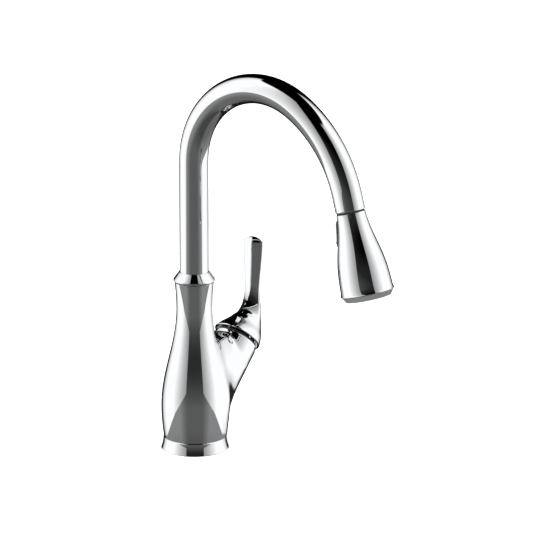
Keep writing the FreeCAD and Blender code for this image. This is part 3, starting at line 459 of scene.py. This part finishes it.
def cut_flat(work, point, normal, picks):
    """Cuts off what lies beyond a plane, on its normal's side, of the faces whose middle picks() accepts."""
    faces = [face for face in work.faces if picks(face.calc_center_median())]
    edges = dict.fromkeys(edge for face in faces for edge in face.edges)
    corners = dict.fromkeys(vertex for face in faces for vertex in face.verts)
    bmesh.ops.bisect_plane(work, geom=faces + list(edges) + list(corners), plane_co=point, plane_no=normal,
                           clear_outer=True, dist=1e-7)


def make_body():
    """The body's skin, cut flat at the foot, the top and the branch's mouth, and its two turned rims."""
    low, high = np.array([-38.0, -38.0, 9.0]), np.array([118.0, 38.0, 180.0])
    points, faces = surface_net(body_field, low, high, 1.3)
    mesh = bpy.data.meshes.new("body_skin")
    mesh.from_pydata((points * MM).tolist(), [], faces.tolist())
    work = bmesh.new()
    work.from_mesh(mesh)
    mouth = Vector(BRANCH_ORIGIN + BRANCH_AXIS * BRANCH_MOUTH) * MM
    cut_flat(work, mouth, Vector(BRANCH_AXIS), lambda c: c.x > 0.034)
    cut_flat(work, Vector((0, 0, BODY_FOOT * MM)), Vector((0, 0, -1)), lambda c: c.z < 0.03)
    cut_flat(work, Vector((0, 0, BODY_TOP * MM)), Vector((0, 0, 1)), lambda c: c.z > 0.16)
    bmesh.ops.remove_doubles(work, verts=work.verts, dist=5e-5)
    bmesh.ops.recalc_face_normals(work, faces=work.faces)
    work.to_mesh(mesh)
    work.free()
    mesh.polygons.foreach_set("use_smooth", [True] * len(mesh.polygons))
    places = np.array([v.co for v in mesh.vertices]) / MM
    slope = gradient(body_field, places)
    slope /= np.linalg.norm(slope, axis=1)[:, None]
    first = mesh.polygons[0]
    if first.normal.dot(Vector(slope[first.vertices[0]])) < 0:
        mesh.flip_normals()
    mesh.normals_split_custom_set_from_vertices(slope.tolist())
    finish_piece(link_object("body_skin", mesh), "root", "chrome", "body_shell")
    lip = turned("branch_lip", rounded([
        (BRANCH_R - 0.02, 94.6), (BRANCH_R, 95.0, 0.3), (BRANCH_R - 0.6, 95.5, 0.3), (20.9, 95.5, 0.2),
        (20.9, 84.2)]), ON_BRANCH)
    finish_piece(lip, "root", "chrome")
    rim = float(vase_radius(np.array(BODY_TOP)))
    top = turned("body_rim", rounded([(rim, 175.4), (rim, 175.7, 0.2), (15.6, 175.7, 0.2), (15.6, 160.0)]))
    finish_piece(top, "root", "chrome")


# ------------------------------------------------------------------ spout
TUBE_R, TUBE_FOOT, RISE_TOP = 14.8, 178.0, 301.0
CROWN_R, CROWN_TURN, REACH_R, REACH_TURN, OUTLET = 85.0, 119.6, 134.0, 45.4, 14.5


def spout_line(step=1.5):
    """Points and tangents of the spout's centreline in the plane x = 0, its bends eased into each other."""
    fine = 8
    crown, reach = math.radians(CROWN_TURN), math.radians(REACH_TURN)
    ends = np.cumsum([RISE_TOP - TUBE_FOOT, CROWN_R * crown, REACH_R * reach, OUTLET])
    along = np.linspace(0, ends[-1], int(ends[-1] / step) * fine + 1)
    bend = np.select([along < end for end in ends[:3]], [0.0, 1 / CROWN_R, 1 / REACH_R], 0.0)
    kernel = np.hanning(161)
    smooth = np.convolve(np.pad(bend, 80, mode="edge"), kernel / kernel.sum(), "valid")
    smooth *= (crown + reach) / np.trapz(smooth, along)
    gaps = np.diff(along)
    turn = np.concatenate([[0], np.cumsum((smooth[1:] + smooth[:-1]) / 2 * gaps)])
    tangent = np.c_[np.zeros_like(turn), -np.sin(turn), np.cos(turn)]
    climb = np.cumsum((tangent[1:] + tangent[:-1]) / 2 * gaps[:, None], 0)
    places = np.concatenate([[np.zeros(3)], climb])
    places[:, 2] += TUBE_FOOT
    places += (along / along[-1])[:, None] ** 2 * (HEAD_JOINT - places[-1])
    return places[::fine], tangent[::fine]


def ring_across(place, tangent, radius, angles):
    """A circle of points about a place on a line in the plane x = 0, square to its tangent."""
    side = np.array([1.0, 0, 0])
    return place + radius * (np.cos(angles)[:, None] * side
                             + np.sin(angles)[:, None] * np.cross(tangent, side))


def make_spout():
    """The spout's tube, with a rounded mouth that turns in to its bore."""
    places, tangents = spout_line()
    around = 160
    angles = full_turn(around)
    rows = [ring_across(place, tangent, TUBE_R, angles) for place, tangent in zip(places, tangents)]
    rows[-1] = ring_across(places[-1] - HEAD_AXIS * 0.5, tangents[-1], TUBE_R, angles)
    for radius, back in ((TUBE_R - 0.08, 0.2), (TUBE_R - 0.3, 0.05), (TUBE_R - 0.6, 0.0), (13.9, 0.0),
                         (13.65, 0.1), (13.5, 0.4), (13.5, 14.0), (13.5, 30.0)):
        rows.append(ring_across(HEAD_JOINT - HEAD_AXIS * back, HEAD_AXIS, radius, angles))
    piece = add_object("spout_tube_skin", np.concatenate(rows), grid_faces(len(rows), around))
    clean(piece.data, PIECE_SHARP)
    finish_piece(piece, "spout", "chrome", "spout_tube")


# ------------------------------------------------------------------ hose and shank
# distances are up the spout from the head's joint; between DRAW_START and DRAW_END the short run's rings lie
# close together
HOSE_R, HOSE_FOOT, HOSE_STEP, RUN_END, DRAW_START, DRAW_END = 5.5, -58.0, 2.0, 50.0, 34.0, 14.0


def make_tube(name, places, tangents, around=48):
    angles = full_turn(around)
    rows = [ring_across(place, tangent, HOSE_R, angles) for place, tangent in zip(places, tangents)]
    return add_object(name, np.concatenate(rows), grid_faces(len(rows), around), sharp_angle=TURNED_SHARP)


def make_hose():
    """The pull down hose: a fixed run inside the spout, and a short run by the head with close rings in its
    middle.
    """
    places, tangents = spout_line(0.5)
    near = np.linalg.norm(places - HEAD_JOINT, axis=1)
    fixed = (near > RUN_END) | ((places - HEAD_JOINT) @ HEAD_AXIS > 0)
    rise = np.arange(HOSE_FOOT, TUBE_FOOT, HOSE_STEP)
    low = np.c_[np.zeros((len(rise), 2)), rise]
    run = make_tube("hose_run", np.concatenate([low, places[fixed][::3]]),
                    np.concatenate([np.tile((0, 0, 1.0), (len(rise), 1)), tangents[fixed][::3]]))
    finish_piece(run, "spout", "braid", "pull_down_hose")
    wanted = np.concatenate([np.linspace(RUN_END + 0.5, DRAW_START, 12),
                             np.linspace(DRAW_START - 0.1, DRAW_END, 200), np.linspace(DRAW_END - 0.5, 3, 6)])
    order = np.argsort(near[~fixed])

    def picked(rows):
        by_distance = rows[~fixed][order].T
        return np.array([np.interp(wanted, near[~fixed][order], row) for row in by_distance]).T

    drawn = make_tube("hose_drawn", picked(places), picked(tangents))
    drawn.data.materials.append(MATERIALS["braid"])
    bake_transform(drawn)


def make_shank():
    """The threaded shank below the deck, with rings for its crests instead of a helix."""
    pitch, crest, root, bore, foot, top = 2.0, 16.2, 15.1, 14.5, -62.0, 14.0
    thread = [(root, 0.0), (root, 0.25), (crest, 0.85), (crest, 1.15), (root, 1.75)]
    outline = [(bore, foot), (15.0, foot)]
    for low in np.arange(foot + 1.0, -1.5, pitch):
        outline += [(radius, low + height) for radius, height in thread]
    outline += [(root, 0.0), (crest, 1.0), (crest, top), (bore, top), (bore, foot)]
    piece = turned("threaded_shank", outline, around=96)
    finish_piece(piece, "root", "brass", "mounting_shank")


# ------------------------------------------------------------------ handle
SKIRT = 102.3


def on_branch(along, across):
    """A point beside the branch's axis, in the row frame."""
    return BRANCH_ORIGIN + BRANCH_AXIS * along + BRANCH_LEAN * across


def handle_stations():
    """Sections up the handle: X, height, tilt, half width in the plane and along Y, roof's share and ridge.

    On the bell the first three are distances along and across the branch's axis, and the lean back from it.
    """
    bell = [
        (0.0, 0.0, 0, 25.0, 25.0, 0.0, 1.0),
        (1.5, 0.0, 0, 25.0, 25.0, 0.0, 1.0),
        (8.0, 0.7, 0, 22.8, 23.2, 0.18, 1.0),
        (15.0, 1.8, 0, 19.4, 19.8, 0.3, 1.0),
        (22.0, 1.6, 2, 16.2, 16.5, 0.45, 1.0),
        (28.0, 1.0, 8, 13.6, 13.9, 0.62, 1.0),
    ]
    lever = [
        (94.6, 129.0, BRANCH_TILT - 20, 10.8, 11.4, 0.8, 0.95),
        (95.6, 138.5, 13, 8.2, 9.6, 0.86, 0.66),
        (96.2, 148.0, 5, 6.6, 9.2, 0.86, 0.48),
        (96.7, 160.0, 3, 6.0, 9.9, 0.87, 0.44),
        (97.5, 176.0, 3, 6.4, 11.2, 0.87, 0.42),
        (98.2, 190.0, 3, 6.8, 12.0, 0.87, 0.42),
        (98.5, 197.0, 3, 6.8, 11.9, 0.87, 0.42),
    ]
    placed = [(*on_branch(SKIRT + along, across)[[0, 2]], BRANCH_TILT - back, *shape)
              for along, across, back, *shape in bell]
    return placed + lever


def through(values, steps):
    """A smooth curve through control values, by Catmull-Rom with even steps between them."""
    values = np.asarray(values, float)
    padded = np.concatenate([[2 * values[0] - values[1]], values, [2 * values[-1] - values[-2]]])
    rows = []
    for i in range(len(values) - 1):
        a, b, c, d = padded[i:i + 4]
        for t in np.arange(steps) / steps:
            rows.append(0.5 * (2 * b + (c - a) * t + (2 * a - 5 * b + 4 * c - d) * t * t
                               + (3 * b - a - 3 * c + d) * t ** 3))
    rows.append(values[-1])
    return np.array(rows)


# the ridge moves off the middle by CREST_SHIFT of the half width, from height CREST_START on, over CREST_RISE
CREST_SHIFT, CREST_START, CREST_RISE = -0.16, 125.0, 20.0
CAP_RISE = 5.2


def handle_section(station, angles):
    """One closed section: round on the far side, and a roof with a ridge on the side that faces the body."""
    x, z, tilt, wide, side, roof, ridge = station
    tilt = math.radians(tilt)
    lean = np.array([math.cos(tilt), 0, -math.sin(tilt)])
    across, out = np.sin(angles), np.cos(angles)
    crest = CREST_SHIFT * min(max((z - CREST_START) / CREST_RISE, 0.0), 1.0)
    slope = np.where(across > crest, (1 - across) / (1 - crest), (1 + across) / (1 + crest))
    offset = np.where(out >= 0, wide * out, (1 - roof) * (wide * out) - roof * ridge * side * slope)
    return np.array([x, 0, z]) + offset[:, None] * lean + (side * across)[:, None] * np.array([0, 1.0, 0])


def make_handle():
    """The handle: a hollow bell over the cartridge that runs on into the lever, with a domed tip."""
    around = 128
    angles = full_turn(around)
    rows = []
    for along, across, radius in ((23.5, 0.6, 12.0), (18.0, 1.0, 14.5), (12.0, 1.0, 17.8), (6.0, 0.3, 20.8),
                                  (0.0, 0.0, 23.0), (0.0, 0.0, 24.4)):
        centre = on_branch(SKIRT + along, across)
        rows.append(handle_section((centre[0], centre[2], BRANCH_TILT, radius, radius, 0.0, 1.0), angles))
    stations = through(handle_stations(), 10)
    rows += [handle_section(station, angles) for station in stations]
    for shrink in (0.985, 0.93, 0.85, 0.75, 0.62, 0.47, 0.3, 0.14, 0.02):
        cap = stations[-1].copy()
        cap[1] += CAP_RISE * (1 - shrink ** 2.2)
        cap[3:5] *= shrink
        rows.append(handle_section(cap, angles))
    piece = add_object("handle_skin", np.concatenate(rows), grid_faces(len(rows), around))
    clean(piece.data, HANDLE_SHARP)
    finish_piece(piece, "handle", "chrome", "handle")


# ------------------------------------------------------------------ spray head
BELL_R, BELL_SWELL, BELL_HALF, BELL_LEAD = 14.4, 5.45, 70.0, 2.0
FLARE_START, FLARE_LENGTH = 56.0, 26.0


def head_radius(along):
    """The bell of the head: a half cosine that runs on into a gentle flare at the rim."""
    share = (np.minimum(along, FLARE_START) + BELL_LEAD) / BELL_HALF
    bell = BELL_R + BELL_SWELL * (1 - np.cos(math.pi * share))
    past = np.maximum(along - FLARE_START, 0)
    return bell + 0.125 * past - 0.0029 * past ** 2 + 1.13 * (past / FLARE_LENGTH) ** 9


def make_head():
    """The head's chrome bell and the grey ring round its face."""
    bell = [(float(head_radius(along)), along) for along in np.linspace(2.4, 80.8, 90)]
    outline = rounded([
        (11.8, 9.0), (11.8, 1.6, 0.3), (14.0, 1.6, 0.4), (14.45, 2.0, 0.2)] + bell + [
        (26.95, 81.4, 0.3), (26.9, 82.0, 0.3), (23.2, 82.0, 0.2), (23.2, 76.0)])
    piece = turned("head_skin", outline, ON_HEAD, around=224)
    finish_piece(piece, "spray_head", "chrome", "head_shell")
    ring = turned("face_ring_skin", rounded([
        (22.0, 80.2), (23.15, 80.2), (23.15, 82.0), (26.3, 82.05, 0.3), (22.4, 87.9, 0.8), (19.4, 88.0, 0.3),
        (19.4, 82.0)]), ON_HEAD, around=224)
    finish_piece(ring, "spray_head", "grey_plastic", "face_ring")


CORNER_POWER = 2.0 / 7.0


def plate(name, half_width, low, high, skin, back, rounding, fall, columns=24):
    """A plate with rounded corners on the head's side that faces the body.

    skin(along) is its front's distance from the head's axis, back that of its back, and fall how fast the
    front drops away to both sides.
    """
    span, middle = (high - low) / 2, (high + low) / 2
    angles = full_turn(4 * columns)
    edge = np.c_[np.cos(angles), np.sin(angles)]
    edge = np.sign(edge) * np.abs(edge) ** CORNER_POWER
    rows = []
    for inset, drop in ((0.0, None), (0.0, 0.55), (0.12, 0.2), (0.45, 0.02), (1.1, 0.0), (3.0, 0.0),
                        (5.0, 0.0)):
        x = edge[:, 0] * np.maximum(half_width - inset * rounding, 0.05)
        along = middle + edge[:, 1] * np.maximum(span - inset * rounding, 0.05)
        out = np.full_like(x, back) if drop is None else skin(along) - drop * rounding - fall * x * x
        rows.append(np.c_[x, -out, along])
    count, last = len(angles), len(rows) - 1
    hub = len(rows) * count
    faces = grid_faces(len(rows), count)
    faces += [(last * count + column, last * count + (column + 1) % count, hub) for column in range(count)]
    points = np.concatenate(rows + [np.array([[0.0, -float(skin(middle)), middle]])])
    piece = add_object(name, points, faces, ON_HEAD)
    clean(piece.data, PIECE_SHARP)
    return piece


def make_button():
    """The spray button: a chrome plate standing proud in a black frame."""
    def frame_skin(along):
        return head_radius(along) + 0.35

    def button_skin(along):
        return head_radius(along) + 3.5 - 0.5 * ((along - 20.5) / 10.0) ** 2

    surround = plate("button_frame_skin", 8.0, 7.2, 33.8, frame_skin, back=13.0, rounding=1.0, fall=0.003)
    finish_piece(surround, "spray_head", "black_plastic", "button_frame")
    button = plate("spray_button_skin", 5.8, 10.2, 30.8, button_skin, back=14.2, rounding=0.9, fall=0.006)
    finish_piece(button, "button", "chrome", "spray_button")


def make_seam_shade_ring():
    """A black ring in the seam between spout and head, which paints the seam's shade as a dark line."""
    # painted shade: a black rubber ring that darkens the seam between spout and head
    seam_shade = turned("painted_seam_shade_ring", rounded([
        (11.9, 1.5), (11.9, 0.1, 0.2), (13.95, 0.1, 0.3), (13.95, 1.7)]), ON_HEAD, around=160)
    finish_piece(seam_shade, "spray_head", "rubber")


# ------------------------------------------------------------------ world, floor, camera
CAMERA_AZIMUTH, CAMERA_RISE, CAMERA_FAR = -52.0, 15.0, 4.0
# the panels: degrees from the front to their near edge, how their foot falls away from it, and their top
PANEL_FRONT, PANEL_FOOT, PANEL_TOP, PANEL_GLOW = 29.0, 0.46, 0.84, 1.18


def make_floor():
    """A pale plane for the deck, which reflections don't see."""
    bpy.ops.mesh.primitive_plane_add(size=30)
    floor = bpy.context.object
    floor.name = "floor"
    material, nodes, links, shader = new_material("pale_floor")
    value = noise(nodes, links, 3.0, 3.0)
    links.new(tint(nodes, links, value, (0.93, 0.93, 0.93), (0.96, 0.96, 0.96)), shader.inputs["Base Color"])
    shader.inputs["Roughness"].default_value = 0.9
    shader.inputs["Specular IOR Level"].default_value = 0.0
    shader.inputs["Emission Color"].default_value = (1, 1, 1, 1)
    shader.inputs["Emission Strength"].default_value = 0.5
    floor.data.materials.append(material)
    floor.visible_glossy = False


def smooth_edge(nodes, links, value, low, high):
    """0 below low, 1 above high, smooth between."""
    edge = nodes.new("ShaderNodeMapRange")
    edge.interpolation_type = "SMOOTHSTEP"
    edge.inputs["From Min"].default_value = low
    edge.inputs["From Max"].default_value = high
    links.new(value, edge.inputs["Value"])
    return edge.outputs["Result"]


def make_world():
    """A studio: two tall side panels, a dark front and back, a grey floor, and white for the camera alone."""
    world = bpy.data.worlds.new("studio")
    bpy.context.scene.world = world
    world.use_nodes = True
    nodes, links = world.node_tree.nodes, world.node_tree.links
    shader = nodes["Background"]
    place = nodes.new("ShaderNodeTexCoord")
    split = nodes.new("ShaderNodeSeparateXYZ")
    links.new(place.outputs["Generated"], split.inputs[0])
    x, y, z = split.outputs
    azimuth = math.radians(CAMERA_AZIMUTH)
    front = (math.sin(azimuth), -math.cos(azimuth))

    def math_node(operation, first, second=0.0):
        node = nodes.new("ShaderNodeMath")
        node.operation = operation
        for socket, value in zip(node.inputs, (first, second)):
            if isinstance(value, float):
                socket.default_value = value
            else:
                links.new(value, socket)
        return node.outputs[0]

    def times(*values):
        total = values[0]
        for value in values[1:]:
            total = math_node("MULTIPLY", total, value)
        return total

    def mixed(first, first_share, second, second_share):
        return math_node("ADD", times(first, first_share), times(second, second_share))

    def leaning(degrees):
        """How far a direction lies to the side of an upright plane at this angle from the front."""
        turn = math.radians(degrees)
        return mixed(side, math.cos(turn), ahead, -math.sin(turn))

    def edge(value, low, high):
        return smooth_edge(nodes, links, value, low, high)

    def ramp(value, low, high, start, end):
        return spread(nodes, links, value, low, high, start, end)

    ahead = mixed(x, front[0], y, front[1])
    side = math_node("ABSOLUTE", mixed(x, -front[1], y, front[0]))
    level = math_node("SQRT", mixed(ahead, ahead, side, side))
    facing = math_node("DIVIDE", ahead, level)
    # side panels: their foot runs away from the front, and they are dimmer towards both ends
    foot = math_node("ADD", z, times(leaning(PANEL_FRONT), PANEL_FOOT))
    panel = times(edge(foot, -0.006, 0.006), edge(leaning(PANEL_FRONT + 1.5), -0.012, 0.012),
                  edge(z, PANEL_TOP + 0.03, PANEL_TOP), edge(facing, -0.84, -0.73),
                  ramp(facing, 1.0, 0.26, 0.2, 0.90), ramp(facing, 0.5, 1.0, -0.84, -0.45), PANEL_GLOW)
    # grey floor, paler to the sides, that fades into a dark room above the horizon, under and behind
    ground = ramp(facing, 0.27, 0.118, 0.60, 0.90)
    above, top = ramp(z, 1.0, 0.16, -0.2, 0.22), edge(z, 0.62, 0.25)
    under, behind = ramp(z, 0.55, 1.0, -0.75, -0.45), ramp(facing, 0.08, 1.0, -0.85, -0.70)
    light = math_node("MAXIMUM", panel, times(ground, above, top, under, behind))
    path = nodes.new("ShaderNodeLightPath")
    mix = nodes.new("ShaderNodeMix")
    links.new(path.outputs["Is Camera Ray"], mix.inputs[0])
    links.new(light, mix.inputs[2])
    mix.inputs[3].default_value = 1.0
    links.new(mix.outputs[0], shader.inputs["Color"])


def direction(azimuth, elevation):
    """A unit vector, with azimuth 0 towards -Y and both angles in degrees."""
    a, e = math.radians(azimuth), math.radians(elevation)
    return Vector((math.sin(a) * math.cos(e), -math.cos(a) * math.cos(e), math.sin(e)))


def add_sun(name, azimuth, elevation, strength, width):
    light = bpy.data.lights.new(name, "SUN")
    light.energy = strength
    light.angle = math.radians(width)
    sun = link_object(name, light)
    sun.rotation_euler = direction(azimuth, elevation).to_track_quat("Z", "Y").to_euler()
    sun.visible_glossy = False


def make_camera():
    """Stands in front and to the left of the faucet, a little above it, and looks beside the spout."""
    sensor, picture, per_mm = 36.0, 533, 0.9893
    side_step, rise_step = 0.0731, -0.00884
    back = direction(CAMERA_AZIMUTH, CAMERA_RISE)
    pivot = Vector((0, 0, 0.2))
    right = Vector((0, 0, 1)).cross(back).normalized()
    data = bpy.data.cameras.new("camera")
    data.sensor_width = sensor
    data.lens = sensor * per_mm * CAMERA_FAR / MM / picture
    camera = link_object("camera", data)
    camera.location = pivot + back * CAMERA_FAR
    target = pivot + right * side_step + back.cross(right) * rise_step
    camera.rotation_euler = (camera.location - target).to_track_quat("Z", "Y").to_euler()
    bpy.context.scene.camera = camera


make_camera()
dress_nodes()
make_base()
make_collar()
make_trim()
make_body()
make_spout()
make_handle()
make_head()
make_button()
make_seam_shade_ring()
make_hose()
make_shank()
make_floor()
make_world()
add_sun("key_light", -120, 55, strength=2.4, width=40)
add_sun("fill_light", 40, 65, strength=1.4, width=60)
bpy.context.scene.view_settings.view_transform = "Standard"
